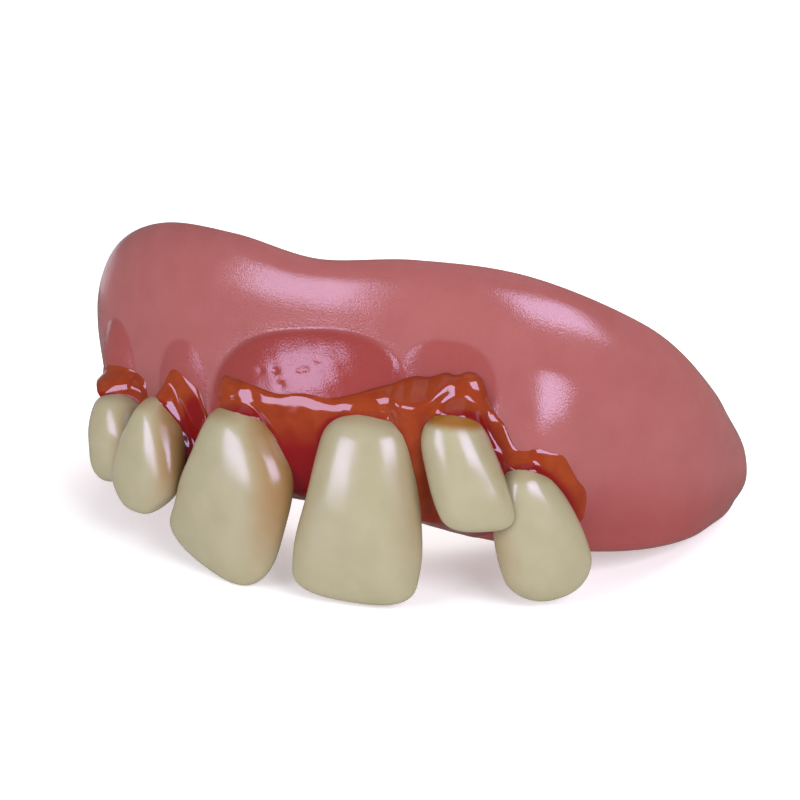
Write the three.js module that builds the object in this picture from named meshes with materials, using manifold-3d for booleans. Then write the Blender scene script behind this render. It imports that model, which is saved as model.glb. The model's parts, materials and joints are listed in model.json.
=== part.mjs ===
// Novelty false teeth: a cast gum plate that slips over the wearer's upper teeth, six crooked teeth set in
// sockets on its face, and tinted resin built up round their necks.
// Millimetres, +Z up, teeth facing -Y, left is -X. The plate is worked out level, with its lower rim near
// z = 0, and then laid down the way it rests on a table: on its longest incisor and on its two rear lobes.
import * as THREE from "three";
import { mergeVertices } from "three/addons/utils/BufferGeometryUtils.js";
import Module from "manifold-3d";

const wasm = await Module();
wasm.setup();

// Driving dimensions
const FIT_GAP = 0.3; // between a tooth or the resin and what it is set in
const ARCH_HALF_WIDTH = 20.8; // of the ridge line, which runs along the middle of the trough
const ARCH_DEPTH = 15.5; // from the front of the ridge line back to its straight sides
const ARCH_SQUARENESS = 2.2; // 2 is an ellipse
const ARCH_STRAIGHT = 14.1;
const LOBE_FROM = 0.77; // share of the half arch where the rear lobes start to round off
const LOBE_CENTRE_OUT = 2.6;
const LOBE_CENTRE_UP = 4.9;
const LOBE_END = 0.995; // share of the lobe's length where its last section stands
const LINGUAL_OFFSET = -6.5; // inner side of the plate, from the ridge line
const LINGUAL_HEIGHT = 9;
const EDGE_RADIUS = 1.6;
const TROUGH_FLOOR = 3; // above the level of the lower rim
const TROUGH_INNER = -4.3; // trough side of the low inner wall
const TROUGH_END = 6; // solid stretch behind the trough, in each lobe
const TROUGH_CLEAR = 4; // the cutter passes the top rim by this much
const WALL_LOW = 4.6; // outer wall at the trough floor, thick enough for the sockets
const WALL_HIGH = 2.4; // outer wall at its top rim

// Outer face of the plate, the same on both sides of the midline: belly and flare push it out above its rim
const PLATE = [
  { at: 0, low: 1.4, high: 22.9, rim: 7.6, belly: 0.5, flare: 3.1 },
  { at: 7, low: 1.2, high: 23.9, rim: 7.7, belly: 0.7, flare: 2.7 },
  { at: 14, low: 0.1, high: 23.6, rim: 8.0, belly: 0.9, flare: 2.3 },
  { at: 21, low: -0.3, high: 20.4, rim: 8.2, belly: 1.2, flare: 2.1 },
  { at: 28, low: 0.2, high: 15.1, rim: 8.2, belly: 1.5, flare: 0.9 },
  { at: 34, low: 1.0, high: 11.5, rim: 8.0, belly: 1.9, flare: 0.5 },
  { at: 39, low: 1.2, high: 8.4, rim: 7.6, belly: 2.2, flare: 0.3 },
];

// Raised swellings over the tooth roots, cast with the plate: a dome on its outer face, climbing by slope
const SWELLINGS = [
  { at: -15.3, up: 9.8, halfWide: 1.9, halfHigh: 4.0, rise: 0.8, slope: 0 },
  { at: -9.1, up: 9.8, halfWide: 2.1, halfHigh: 3.6, rise: 0.8, slope: 0 },
  { at: 0.1, up: 11.4, halfWide: 7.4, halfHigh: 5.6, rise: 1.1, slope: 0.25 },
  { at: 9.7, up: 13.4, halfWide: 3.0, halfHigh: 4.0, rise: 0.9, slope: 0 },
];

// Crown outlines: down is the share of the length below the neck, the rest are shares of the width and depth
const FLARED = [
  { down: -0.1, wide: 0.3, front: 0.22, back: 0.25 },
  { down: 0.0, wide: 0.55, front: 0.42, back: 0.4 },
  { down: 0.15, wide: 0.72, front: 0.52, back: 0.45 },
  { down: 0.4, wide: 1.0, front: 0.55, back: 0.42 },
  { down: 0.7, wide: 0.97, front: 0.45, back: 0.3 },
  { down: 0.88, wide: 0.88, front: 0.33, back: 0.2 },
  { down: 0.96, wide: 0.74, front: 0.24, back: 0.15 },
  { down: 1.0, wide: 0.58, front: 0.12, back: 0.08 },
];
const SQUARE = [
  { down: -0.1, wide: 0.3, front: 0.22, back: 0.25 },
  { down: 0.0, wide: 0.62, front: 0.42, back: 0.4 },
  { down: 0.15, wide: 0.74, front: 0.52, back: 0.45 },
  { down: 0.4, wide: 0.9, front: 0.55, back: 0.42 },
  { down: 0.7, wide: 1.0, front: 0.45, back: 0.3 },
  { down: 0.88, wide: 0.96, front: 0.33, back: 0.2 },
  { down: 0.96, wide: 0.8, front: 0.24, back: 0.15 },
  { down: 1.0, wide: 0.56, front: 0.12, back: 0.08 },
];
const POINTED = [
  { down: -0.12, wide: 0.3, front: 0.22, back: 0.25 },
  { down: 0.0, wide: 0.6, front: 0.42, back: 0.4 },
  { down: 0.18, wide: 0.79, front: 0.54, back: 0.46 },
  { down: 0.45, wide: 0.98, front: 0.56, back: 0.44 },
  { down: 0.7, wide: 0.97, front: 0.48, back: 0.36 },
  { down: 0.87, wide: 0.8, front: 0.36, back: 0.25 },
  { down: 0.96, wide: 0.5, front: 0.25, back: 0.16 },
  { down: 1.0, wide: 0.25, front: 0.12, back: 0.08 },
];

// The teeth, from left to right. at and neck place the top of the crown on the plain outer face, proud is how far
// its axis stands out there, flare tips it outwards, tilt leans it towards +at and slant is its biting edge.
// A tooth that stands behind another is relieved to clear it
const TEETH = [
  { name: "canine_left", crown: POINTED, at: -14.5, neck: 7.1, wide: 7.3, long: 7.6, deep: 5.9,
    proud: 0.2, flare: 6, tilt: 2.9, slant: 0.09, behind: "lateral_left" },
  { name: "lateral_left", crown: POINTED, at: -11.7, neck: 6.7, wide: 6.7, long: 9.0, deep: 5.1,
    proud: 0.4, flare: 6, tilt: 5.2, slant: 0.06, behind: "incisor_left" },
  { name: "incisor_left", crown: FLARED, at: -4.2, neck: 7.5, wide: 10.8, long: 13.4, deep: 6.5,
    proud: 0.6, flare: 5, tilt: 0.5, slant: -0.15 },
  { name: "incisor_right", crown: SQUARE, at: 5.0, neck: 8.9, wide: 11.0, long: 14.7, deep: 6.8,
    proud: 0.6, flare: 5, tilt: 4.4, slant: -0.02 },
  { name: "lateral_right", crown: SQUARE, at: 10.1, neck: 11.0, wide: 6.6, long: 10.1, deep: 6.2,
    proud: 0.6, flare: 6, tilt: 22.7, slant: -0.22, behind: "incisor_right" },
  { name: "canine_right", crown: POINTED, at: 15.1, neck: 5.0, wide: 7.7, long: 9.5, deep: 6.2,
    proud: 0.2, flare: 5, tilt: 22.7, slant: -0.04, behind: "lateral_right" },
];

// Where the resin lies on the outer face: its lower and upper limits
const RESIN = [
  {
    name: "resin_canine_left",
    rows: [
      { at: -16.8, low: 7.1, high: 9.2 },
      { at: -15.9, low: 6.2, high: 10.0 },
      { at: -14.9, low: 5.6, high: 10.0 },
      { at: -14.0, low: 5.2, high: 9.4 },
      { at: -13.0, low: 7.0, high: 8.4 },
    ],
  },
  {
    name: "resin_lateral_left",
    rows: [
      { at: -12.0, low: 8.0, high: 8.8 },
      { at: -11.0, low: 7.2, high: 10.6 },
      { at: -10.2, low: 6.2, high: 11.3 },
      { at: -9.4, low: 3.8, high: 10.7 },
      { at: -8.7, low: 2.8, high: 10.0 },
      { at: -8.0, low: 4.6, high: 9.1 },
      { at: -7.4, low: 6.2, high: 7.6 },
    ],
  },
  {
    name: "resin_front",
    rows: [
      { at: -6.6, low: 7.6, high: 9.0 },
      { at: -5.7, low: 7.2, high: 11.0 },
      { at: -4.5, low: 7.4, high: 11.6 },
      { at: -2.3, low: 6.6, high: 11.0 },
      { at: -0.9, low: 3.6, high: 10.6 },
      { at: 0.1, low: 2.4, high: 10.6 },
      { at: 1.1, low: 2.4, high: 10.7 },
      { at: 2.3, low: 5.2, high: 10.8 },
      { at: 4.1, low: 8.4, high: 12.0 },
      { at: 6.1, low: 8.8, high: 13.0 },
      { at: 7.7, low: 6.4, high: 13.6 },
      { at: 8.9, low: 1.7, high: 14.2 },
      { at: 10.1, low: 1.5, high: 14.4 },
      { at: 11.1, low: 5.8, high: 14.9 },
      { at: 12.0, low: 7.8, high: 13.4 },
      { at: 13.1, low: 7.0, high: 10.9 },
      { at: 13.9, low: 5.0, high: 9.0 },
      { at: 15.3, low: 4.8, high: 9.2 },
      { at: 16.6, low: 4.6, high: 8.9 },
      { at: 17.8, low: 2.8, high: 6.7 },
      { at: 18.8, low: 3.0, high: 4.2 },
    ],
  },
];

// Section of the resin between those limits: lift is its height above the gap over the outer face
const RESIN_SECTION = [
  { share: 0, lift: 0 },
  { share: 0.08, lift: 0.55 },
  { share: 0.3, lift: 1.0 },
  { share: 0.7, lift: 1.1 },
  { share: 0.94, lift: 0.9 },
  { share: 1, lift: 0.2 },
  { share: 0.67, lift: 0 },
  { share: 0.33, lift: 0 },
];

// Sampling
const ARCH_STEPS = 12; // points on each side of the ridge line's midline
const FRONT_REACH = 20; // the teeth stand within this distance of the midline
const FRONT_STEP = 1;
const SIDE_STEP = 2.1;
const LOBE_STEPS = 7;
const FACE_STEPS = 15;
const ROUND_STEPS = 3;
const TROUGH_WALL_STEPS = 4;
const TOOTH_SIDES = 16;
const TOOTH_SQUARENESS = 2.5;
const TOOTH_STEPS = 12;
const RESIN_STEP = 0.6;
const PITCH_STEPS = 40;

// Materials
const gumMaterial = new THREE.MeshStandardMaterial({ color: 0xb5626a, roughness: 0.32, metalness: 0 });
const toothMaterial = new THREE.MeshStandardMaterial({ color: 0xc9c3a2, roughness: 0.25, metalness: 0 });
const resinMaterial = new THREE.MeshStandardMaterial({ color: 0x9c3a1c, roughness: 0.15, metalness: 0 });

// Smooth value of one column of a table, at a place along its first column
function column(rows, along, name) {
  const places = rows.map((row) => row[along]);
  const values = rows.map((row) => row[name]);
  const curve = new THREE.CubicInterpolant(places, values, 1, new Float64Array(1));
  return (place) => curve.evaluate(THREE.MathUtils.clamp(place, places[0], places.at(-1)))[0];
}

function columns(rows, along) {
  const names = Object.keys(rows[0]).filter((name) => name !== along);
  return Object.fromEntries(names.map((name) => [name, column(rows, along, name)]));
}

const plate = columns(PLATE, "at");

// The ridge line in plan, from the left rear to the right rear: a squared ellipse with straight sides
function ridgeLine() {
  const right = [];
  for (let i = 0; i <= ARCH_STEPS; i++) {
    const turn = (i / ARCH_STEPS) * (Math.PI / 2);
    const x = ARCH_HALF_WIDTH * Math.sin(turn) ** (2 / ARCH_SQUARENESS);
    const y = ARCH_DEPTH * (1 - Math.cos(turn) ** (2 / ARCH_SQUARENESS));
    right.push(new THREE.Vector3(x, y, 0));
  }
  right.push(new THREE.Vector3(ARCH_HALF_WIDTH, ARCH_DEPTH + ARCH_STRAIGHT, 0));
  const left = right.slice(1).reverse().map((p) => new THREE.Vector3(-p.x, p.y, 0));
  return new THREE.CatmullRomCurve3([...left, ...right], false, "centripetal");
}

const ridge = ridgeLine();
const HALF_ARCH = ridge.getLength() / 2;

// The ridge line's point, running direction and outward direction at a distance from the midline
function archFrame(at) {
  const share = THREE.MathUtils.clamp(0.5 + at / (2 * HALF_ARCH), 0, 1);
  const along = ridge.getTangentAt(share);
  return { origin: ridge.getPointAt(share), along, out: new THREE.Vector3(along.y, -along.x, 0) };
}

function archPoint(at, out, up) {
  const frame = archFrame(at);
  return frame.origin.addScaledVector(frame.out, out).setZ(up);
}

// How far the swellings lift the outer face
function swelling(at, up) {
  let lift = 0;
  for (const dome of SWELLINGS) {
    const across = at - dome.at;
    const reach = Math.hypot(across / dome.halfWide, (up - dome.up - dome.slope * across) / dome.halfHigh);
    if (reach < 1) lift = Math.max(lift, dome.rise * (1 - reach ** 2));
  }
  return lift;
}

// Distance of the plain outer face from the ridge line, and of the finished one with its swellings
function plainFace(at, up) {
  const side = Math.abs(at);
  const low = plate.low(side);
  const level = THREE.MathUtils.clamp((up - low) / (plate.high(side) - low), 0, 1);
  return plate.rim(side) + plate.belly(side) * Math.sin(Math.PI * level) + plate.flare(side) * level ** 2;
}

function outerFace(at, up) {
  return plainFace(at, up) + swelling(at, up);
}

// Points of a quarter round between two directions
function quarterRound(centreOut, centreUp, radius, fromDegrees) {
  const points = [];
  for (let i = 0; i <= ROUND_STEPS; i++) {
    const angle = THREE.MathUtils.degToRad(fromDegrees + (90 * i) / ROUND_STEPS);
    points.push([centreOut + radius * Math.cos(angle), centreUp + radius * Math.sin(angle)]);
  }
  return points;
}

// One section across the plate, as [out, up] pairs from its underside round the outer face to the inner side
function plateSection(at) {
  const side = Math.abs(at);
  const low = plate.low(side);
  const high = plate.high(side);
  const r = EDGE_RADIUS;
  const inner = Math.min(low + LINGUAL_HEIGHT, high - r);
  const face = [];
  for (let i = 0; i <= FACE_STEPS; i++) {
    const up = THREE.MathUtils.lerp(low + r, high - r, i / FACE_STEPS);
    face.push([outerFace(at, up), up]);
  }
  const foot = quarterRound(face[0][0] - r, low + r, r, -90).slice(0, -1);
  const lip = quarterRound(face.at(-1)[0] - r, high - r, r, 0).slice(1);
  const innerLip = quarterRound(LINGUAL_OFFSET + r, inner - r, r, 90);
  const innerFoot = quarterRound(LINGUAL_OFFSET + r, low + r, r, 180);
  return [...foot, ...face, ...lip, ...innerLip, ...innerFoot];
}

// How much the sections draw in towards the rear end of each lobe, as the end of an ellipse does
function lobeDraw(at) {
  const past = (Math.abs(at) / HALF_ARCH - LOBE_FROM) / (1 - LOBE_FROM);
  return past <= 0 ? 1 : Math.sqrt(Math.max(0, 1 - past ** 2));
}

// A closed solid through rings of points, each end closed round its middle
function loft(rings) {
  const sides = rings[0].length;
  const middle = (ring) => ring.reduce((sum, p) => sum.add(p), new THREE.Vector3()).divideScalar(sides);
  const points = [...rings.flat(), middle(rings[0]), middle(rings.at(-1))];
  const firstMiddle = rings.length * sides;
  const lastRing = (rings.length - 1) * sides;
  const faces = [];
  for (let i = 0; i < sides; i++) {
    const j = (i + 1) % sides;
    faces.push(firstMiddle, j, i, firstMiddle + 1, lastRing + i, lastRing + j);
    for (let k = 0; k < rings.length - 1; k++) {
      const here = k * sides;
      const next = here + sides;
      faces.push(here + i, here + j, next + j, here + i, next + j, next + i);
    }
  }
  return new THREE.BufferGeometry().setFromPoints(points).setIndex(faces);
}

// A geometry as a solid for joining and cutting, and back again
function solidOf(geometry) {
  const bare = new THREE.BufferGeometry().setAttribute("position", geometry.getAttribute("position"));
  const merged = mergeVertices(bare.setIndex(geometry.index), 1e-4);
  return new wasm.Manifold(
    new wasm.Mesh({
      numProp: 3,
      vertProperties: merged.attributes.position.array,
      triVerts: new Uint32Array(merged.index.array),
    }),
  );
}

function geometryOf(solid) {
  const mesh = solid.getMesh();
  return new THREE.BufferGeometry()
    .setAttribute("position", new THREE.BufferAttribute(mesh.vertProperties, 3))
    .setIndex(new THREE.BufferAttribute(mesh.triVerts, 1));
}

// Even steps from one place up to another, without the first
function steps(from, to, size) {
  const count = Math.round((to - from) / size);
  return Array.from({ length: count }, (_, i) => THREE.MathUtils.lerp(from, to, (i + 1) / count));
}

// Distances from the midline where sections stand: close together over the front and at the ends of the lobes
function stationsToRear() {
  const lobeStart = HALF_ARCH * LOBE_FROM;
  const ends = steps(0, 1, 1 / LOBE_STEPS).map((share) => Math.sin((share * Math.PI) / 2) * LOBE_END);
  return [
    ...steps(0, FRONT_REACH, FRONT_STEP),
    ...steps(FRONT_REACH, lobeStart, SIDE_STEP),
    ...ends.map((share) => THREE.MathUtils.lerp(lobeStart, HALF_ARCH, share)),
  ];
}

// A list of distances on both sides of the midline, from the right rear to the left rear
function bothSides(distances) {
  return [...distances.toReversed(), 0, ...distances.map((at) => -at)];
}

// The plate before its trough and sockets are cut
function plateBlank() {
  const rings = [];
  for (const at of bothSides(stationsToRear())) {
    const draw = lobeDraw(at);
    const ring = plateSection(at).map(([out, up]) =>
      archPoint(
        at,
        THREE.MathUtils.lerp(LOBE_CENTRE_OUT, out, draw),
        THREE.MathUtils.lerp(LOBE_CENTRE_UP, up, draw),
      ),
    );
    rings.push(ring);
  }
  return loft(rings);
}

// What the trough takes away: flat floor, outer side following the outer face, inner side upright
function troughCutter() {
  const reach = HALF_ARCH - TROUGH_END;
  const within = stationsToRear().filter((at) => at < reach);
  const rings = [];
  for (const at of bothSides([...within, reach])) {
    const high = plate.high(Math.abs(at));
    const ring = [];
    for (let k = 0; k <= TROUGH_WALL_STEPS; k++) {
      const share = k / TROUGH_WALL_STEPS;
      const up = THREE.MathUtils.lerp(TROUGH_FLOOR, high, share);
      const wall = THREE.MathUtils.lerp(WALL_LOW, WALL_HIGH, share);
      ring.push(archPoint(at, plainFace(at, up) - wall, up));
    }
    const clear = high + TROUGH_CLEAR;
    ring.push(archPoint(at, plainFace(at, high) - WALL_HIGH, clear));
    ring.push(archPoint(at, TROUGH_INNER, clear));
    ring.push(archPoint(at, TROUGH_INNER, TROUGH_FLOOR));
    rings.push(ring);
  }
  return loft(rings);
}

// One tooth about the top of its crown: x across, y inwards, z up. grow makes the cutter for its socket
function toothGeometry(tooth, grow) {
  const crown = columns(tooth.crown, "down");
  const first = tooth.crown[0].down;
  const rings = [];
  for (let k = 0; k <= TOOTH_STEPS; k++) {
    const share = Math.sin(((k / TOOTH_STEPS) * Math.PI) / 2);
    const down = THREE.MathUtils.lerp(first, 1, share);
    const halfWide = (tooth.wide * crown.wide(down)) / 2 + grow;
    const up = -tooth.long * down + (k === 0 ? grow : 0);
    const ring = [];
    for (let i = 0; i < TOOTH_SIDES; i++) {
      const angle = (-2 * Math.PI * i) / TOOTH_SIDES;
      const across = Math.sign(Math.cos(angle)) * Math.abs(Math.cos(angle)) ** (2 / TOOTH_SQUARENESS);
      const inward = Math.sign(Math.sin(angle)) * Math.abs(Math.sin(angle)) ** (2 / TOOTH_SQUARENESS);
      const half = tooth.deep * (inward < 0 ? crown.front(down) : crown.back(down)) + grow;
      const x = halfWide * across;
      const edge = tooth.slant * x * Math.max(0, down) ** 2;
      ring.push(new THREE.Vector3(x, half * inward, up + edge));
    }
    rings.push(ring);
  }
  return loft(rings);
}

// Where a tooth stands on the level plate
function toothMatrix(tooth) {
  const frame = archFrame(tooth.at);
  const place = archPoint(tooth.at, plainFace(tooth.at, tooth.neck) + tooth.proud, tooth.neck);
  const upright = new THREE.Matrix4().makeBasis(
    frame.along,
    frame.out.clone().negate(),
    new THREE.Vector3(0, 0, 1),
  );
  const degrees = THREE.MathUtils.degToRad;
  const lean = new THREE.Matrix4().makeRotationFromEuler(
    new THREE.Euler(degrees(-tooth.flare), degrees(-tooth.tilt), 0, "XYZ"),
  );
  return upright.multiply(lean).setPosition(place);
}

function toothSolid(tooth, grow) {
  return solidOf(toothGeometry(tooth, grow).applyMatrix4(toothMatrix(tooth)));
}

// One run of resin over the outer face, before it is cut back from the teeth
function resinGeometry(rows) {
  const limits = columns(rows, "at");
  const first = rows[0].at;
  const last = rows.at(-1).at;
  const stations = Math.round((last - first) / RESIN_STEP);
  const rings = [];
  for (let i = stations; i >= 0; i--) {
    const at = THREE.MathUtils.lerp(first, last, i / stations);
    const ring = RESIN_SECTION.map(({ share, lift }) => {
      const up = THREE.MathUtils.lerp(limits.low(at), limits.high(at), share);
      return archPoint(at, outerFace(at, up) + FIT_GAP + lift, up);
    });
    rings.push(ring);
  }
  return loft(rings);
}

// The largest of the separate bodies a solid falls into
function largestBody(solid) {
  return solid.decompose().reduce((best, body) => (body.volume() > best.volume() ? body : best));
}

function named(name, solid, material) {
  const mesh = new THREE.Mesh(geometryOf(solid), material);
  mesh.name = name;
  return mesh;
}

// The level assembly
const sockets = Object.fromEntries(TEETH.map((tooth) => [tooth.name, toothSolid(tooth, FIT_GAP)]));
const socketsTogether = Object.values(sockets).reduce((all, socket) => all.add(socket));
const blank = solidOf(plateBlank()).subtract(solidOf(troughCutter()));
const gumPlate = named("gum_plate", largestBody(blank.subtract(socketsTogether)), gumMaterial);
const teeth = TEETH.map((tooth) => {
  const whole = toothSolid(tooth, 0);
  const solid = tooth.behind ? largestBody(whole.subtract(sockets[tooth.behind])) : whole;
  return named(tooth.name, solid, toothMaterial);
});
const resin = RESIN.map(({ name, rows }) => {
  const solid = solidOf(resinGeometry(rows)).subtract(socketsTogether);
  return named(name, largestBody(solid), resinMaterial);
});
const level = new THREE.Group();
level.add(gumPlate, ...teeth, ...resin);

// The lowest point of some meshes once they are pitched about X
function lowest(meshes, pitch) {
  const turn = new THREE.Matrix4().makeRotationX(pitch);
  const point = new THREE.Vector3();
  let low = Infinity;
  for (const mesh of meshes) {
    const positions = mesh.geometry.getAttribute("position");
    for (let i = 0; i < positions.count; i++) {
      low = Math.min(low, point.fromBufferAttribute(positions, i).applyMatrix4(turn).z);
    }
  }
  return low;
}

// The pitch at which the longest tooth and the rear lobes touch the table together
function restPitch() {
  let steep = -Math.PI / 4;
  let flat = 0;
  for (let i = 0; i < PITCH_STEPS; i++) {
    const pitch = (steep + flat) / 2;
    if (lowest(teeth, pitch) < lowest([gumPlate], pitch)) flat = pitch;
    else steep = pitch;
  }
  return (steep + flat) / 2;
}

level.rotation.x = restPitch();
level.updateMatrixWorld(true);
const box = new THREE.Box3().setFromObject(level, true);
level.position.set(-(box.min.x + box.max.x) / 2, -(box.min.y + box.max.y) / 2, -box.min.z);

const falseTeeth = new THREE.Group();
falseTeeth.add(level);

export default falseTeeth;
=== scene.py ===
"""Novelty false teeth: a pink cast gum plate, six crooked teeth and the tinted resin round their necks.

Shapes are worked out in millimetres on the level plate: at runs along the ridge line from the midline,
out stands away from that line and up is the height above the lower rim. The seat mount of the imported
record says how the level plate lies on the floor.
"""

import json
import math

import bpy
import numpy as np
from mathutils import Color, Matrix, Vector


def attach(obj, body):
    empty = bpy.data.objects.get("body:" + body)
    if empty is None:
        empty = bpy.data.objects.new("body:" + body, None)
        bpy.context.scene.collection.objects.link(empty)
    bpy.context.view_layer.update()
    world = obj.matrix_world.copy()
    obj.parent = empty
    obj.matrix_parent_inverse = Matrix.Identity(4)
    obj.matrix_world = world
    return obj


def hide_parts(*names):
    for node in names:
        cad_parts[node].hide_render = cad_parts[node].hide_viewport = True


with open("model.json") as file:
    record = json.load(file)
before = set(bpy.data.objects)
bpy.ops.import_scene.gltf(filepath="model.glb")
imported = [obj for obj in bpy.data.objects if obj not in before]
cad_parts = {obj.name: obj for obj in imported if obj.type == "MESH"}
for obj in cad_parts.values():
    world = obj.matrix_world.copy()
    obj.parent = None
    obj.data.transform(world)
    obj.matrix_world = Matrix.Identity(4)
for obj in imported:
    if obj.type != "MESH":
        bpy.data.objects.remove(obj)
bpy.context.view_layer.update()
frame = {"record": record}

MM = 0.001

# The ridge line along the middle of the trough: a squared ellipse with straight sides
ARCH_HALF_WIDTH = 20.8
ARCH_DEPTH = 15.5
ARCH_SQUARENESS = 2.2
ARCH_STRAIGHT = 14.1
ARCH_SAMPLES = 2000
TANGENT_REACH = 0.15

# Rear lobes, inner side and trough of the plate
LOBE_FROM = 0.77
LOBE_CENTRE_OUT = 2.6
LOBE_CENTRE_UP = 4.9
LINGUAL_OFFSET = -6.5
LINGUAL_HEIGHT = 9.0
EDGE_RADIUS = 1.6
TROUGH_FLOOR = 3.0
TROUGH_INNER = -4.3
TROUGH_END = 6.0
SEAT = (0.0, 0.5, TROUGH_FLOOR)
TROUGH_FADE = 4.0
WALL_LOW = 4.6
WALL_HIGH = 2.4
ROLL_OUT = 2.4
ROLL_UP = 5.5
ROLL_SHARE = 0.3
LIP_DROP = 0.25
LIP_ROUND = 0.9

# Outer face of the plate, the same on both sides of the midline
PLATE_COLUMNS = ("at", "low", "high", "rim", "belly", "flare")
PLATE = [
    (0, 1.4, 22.9, 7.6, 0.5, 3.1),
    (7, 1.2, 23.9, 7.7, 0.7, 2.7),
    (14, 0.1, 23.6, 8.0, 0.9, 2.3),
    (21, -0.3, 20.4, 8.2, 1.2, 2.1),
    (28, 0.2, 15.1, 8.2, 1.5, 0.9),
    (34, 1.0, 11.5, 8.0, 1.9, 0.5),
    (39, 1.2, 8.4, 7.6, 2.2, 0.3),
]

# Swellings over the roots: square is how square their outline is, crease the depth of the groove round
# them, red how much they redden and rough how rough their border is
SWELLING_COLUMNS = (
    "at", "up", "half_wide", "half_high", "rise", "fullness", "slope", "square", "crease", "red", "rough",
)
SWELLINGS = [
    (-16.7, 9.0, 2.4, 5.0, 1.0, 1.1, 0.0, 2.0, 0.0, 0.6, 0.0),
    (-9.8, 9.2, 2.2, 4.6, 0.35, 1.0, 0.0, 2.0, 0.0, 0.5, 0.0),
    (0.2, 8.2, 7.7, 8.5, 2.1, 0.85, 0.2, 2.7, 0.1, 1.0, 1.0),
    (9.8, 12.4, 3.1, 5.0, 0.35, 0.8, 0.0, 2.5, 0.07, 0.6, 0.4),
    (15.3, 7.8, 4.0, 8.2, 1.7, 1.5, 0.0, 2.0, 0.0, 0.0, 0.0),
]
CREASE_WIDTH = 0.22

# Redness and roughness of the gum, and the painted shade that darkens it towards its foot; borders are
# shares of a swelling's reach
RED_BORDER = (1.03, 0.93)
FOOT_SHADE = 0.65
FOOT_SHADE_REACH = (8.0, 2.0)
ROUGH_AT = 1.03
ROUGH_WIDTH = 0.05
ROUGH_INSIDE = 0.12
ROUGH_BORDER = (1.0, 0.8)

# Unevenness of the gum: heights and lengths of its lumps, swells and ripples; a wave has a rate along each
# of two directions and a start
LUMP = 0.02
LUMP_LENGTH = 1.1
LUMP_FROM = 0.7
UNEVEN = 0.03
UNEVEN_LENGTH = 7.0
RIPPLE = 0.006
RIPPLE_LENGTH = 2.0
WAVES = [(2.1, 1.3, 0.0), (-1.9, 3.7, 2.0), (4.9, 2.3, 4.1)]

# Pits in the big swelling, and the hollow behind the left canine
PIT_COLUMNS = ("at", "up", "radius", "depth")
PITS = [
    (-1.6, 12.7, 0.24, 0.14),
    (0.3, 13.1, 0.2, 0.12),
    (0.8, 13.3, 0.22, 0.12),
    (-2.7, 12.5, 0.2, 0.08),
    (-1.0, 11.6, 0.3, 0.08),
    (1.6, 14.2, 0.2, 0.06),
    (-22.5, 6.5, 5.0, 0.9),
]

# Crowns: down is the share of the length below the neck, front and back are shares of the depth
CROWN_COLUMNS = ("down", "front", "back")
CROWN = [
    (-0.1, 0.42, 0.4),
    (0.0, 0.47, 0.42),
    (0.15, 0.51, 0.45),
    (0.4, 0.49, 0.42),
    (0.7, 0.38, 0.32),
    (1.0, 0.25, 0.22),
]
CROWN_TOP = CROWN[0][0]
DOME_FROM = 0.1
DOME_SQUARENESS = 2.6
TOOTH_SQUARENESS = 2.2
TIP_THIN_FROM = 0.8
POLE = 0.03

# The teeth from left to right: at and neck place the neck on the plain face, proud is how far the tooth's
# axis stands out there, flare tips it outwards, tilt leans it sideways, turn twists it, slant and bow are
# of its biting edge, which rounds off below tip with the given squareness; line is how far below the neck
# the resin ends on its front, above it where negative, and arc how much lower it ends at the sides
TOOTH_COLUMNS = (
    "name", "at", "neck", "wide", "long", "deep", "proud", "flare", "tilt", "turn",
    "slant", "bow", "tip", "round", "line", "arc",
)
TEETH = [
    ("canine_left", -15.0, 6.8, 7.4, 7.3, 5.9, 0.2, 6, 2.7, 0, 0.18, -0.3, 0.64, 2.8, 2.5, 1.0),
    ("lateral_left", -11.2, 7.3, 6.4, 9.6, 5.1, 0.4, 8, -0.3, 0, -0.03, -0.7, 0.7, 2.8, -0.7, 0.3),
    ("incisor_left", -4.5, 7.9, 10.5, 12.9, 6.5, 0.6, 5, 13.2, -7.3, -0.6, -4.3, 0.74, 2.6, -0.9, 0.3),
    ("incisor_right", 5.3, 9.1, 11, 15.0, 6.8, 0.5, 5, 3.4, 0, -0.05, -0.5, 0.84, 2.8, -1.2, 0.5),
    ("lateral_right", 10.2, 10.5, 6.7, 9.8, 6.2, 0.5, 13, 23.8, 0, -0.25, 0.2, 0.79, 3, -0.7, 0.3),
    ("canine_right", 14.6, 6.7, 8.1, 11.3, 6.2, 0.1, 5, 22.1, 0, -0.02, 0.2, 0.75, 2.2, -0.6, 0.5),
]

# Width of each tooth at the crown's rows, as a share of its full width
WIDTHS = {
    "canine_left": (0.6, 0.68, 0.8, 0.95, 0.9, 0.86),
    "lateral_left": (0.52, 0.52, 0.79, 1.14, 1.28, 0.87),
    "incisor_left": (0.66, 0.62, 0.82, 1.1, 1.1, 1.04),
    "incisor_right": (0.62, 0.69, 0.78, 0.89, 1.02, 0.98),
    "lateral_right": (0.64, 0.71, 0.83, 0.91, 0.95, 0.89),
    "canine_right": (0.44, 0.5, 0.68, 0.88, 0.96, 0.86),
}

# Amber of each tooth: a stain in a band under the resin, and painted shade along its left and right sides
# (on canine_right's left side, the shadow of lateral_right), which fades towards the biting edge; the
# sides are shares of the half width and the fade of the length
STAIN_AND_SHADE_COLUMNS = ("neck", "left", "right")
STAINS_AND_SIDE_SHADES = {
    "canine_left": (0.05, 0.0, 0.3),
    "lateral_left": (0.35, 0.05, 0.7),
    "incisor_left": (0.35, 0.1, 0.75),
    "incisor_right": (0.25, 0.15, 0.25),
    "lateral_right": (1.0, 0.1, 0.25),
    "canine_right": (0.25, 0.3, 0.1),
}
STAIN_BAND = (-1.3, -0.4)
SIDE_SHADE_LEFT = (-0.45, -1.0)
SIDE_SHADE_RIGHT = (0.45, 1.0)
SIDE_SHADE_FADE = (1.0, 0.45)

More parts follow.
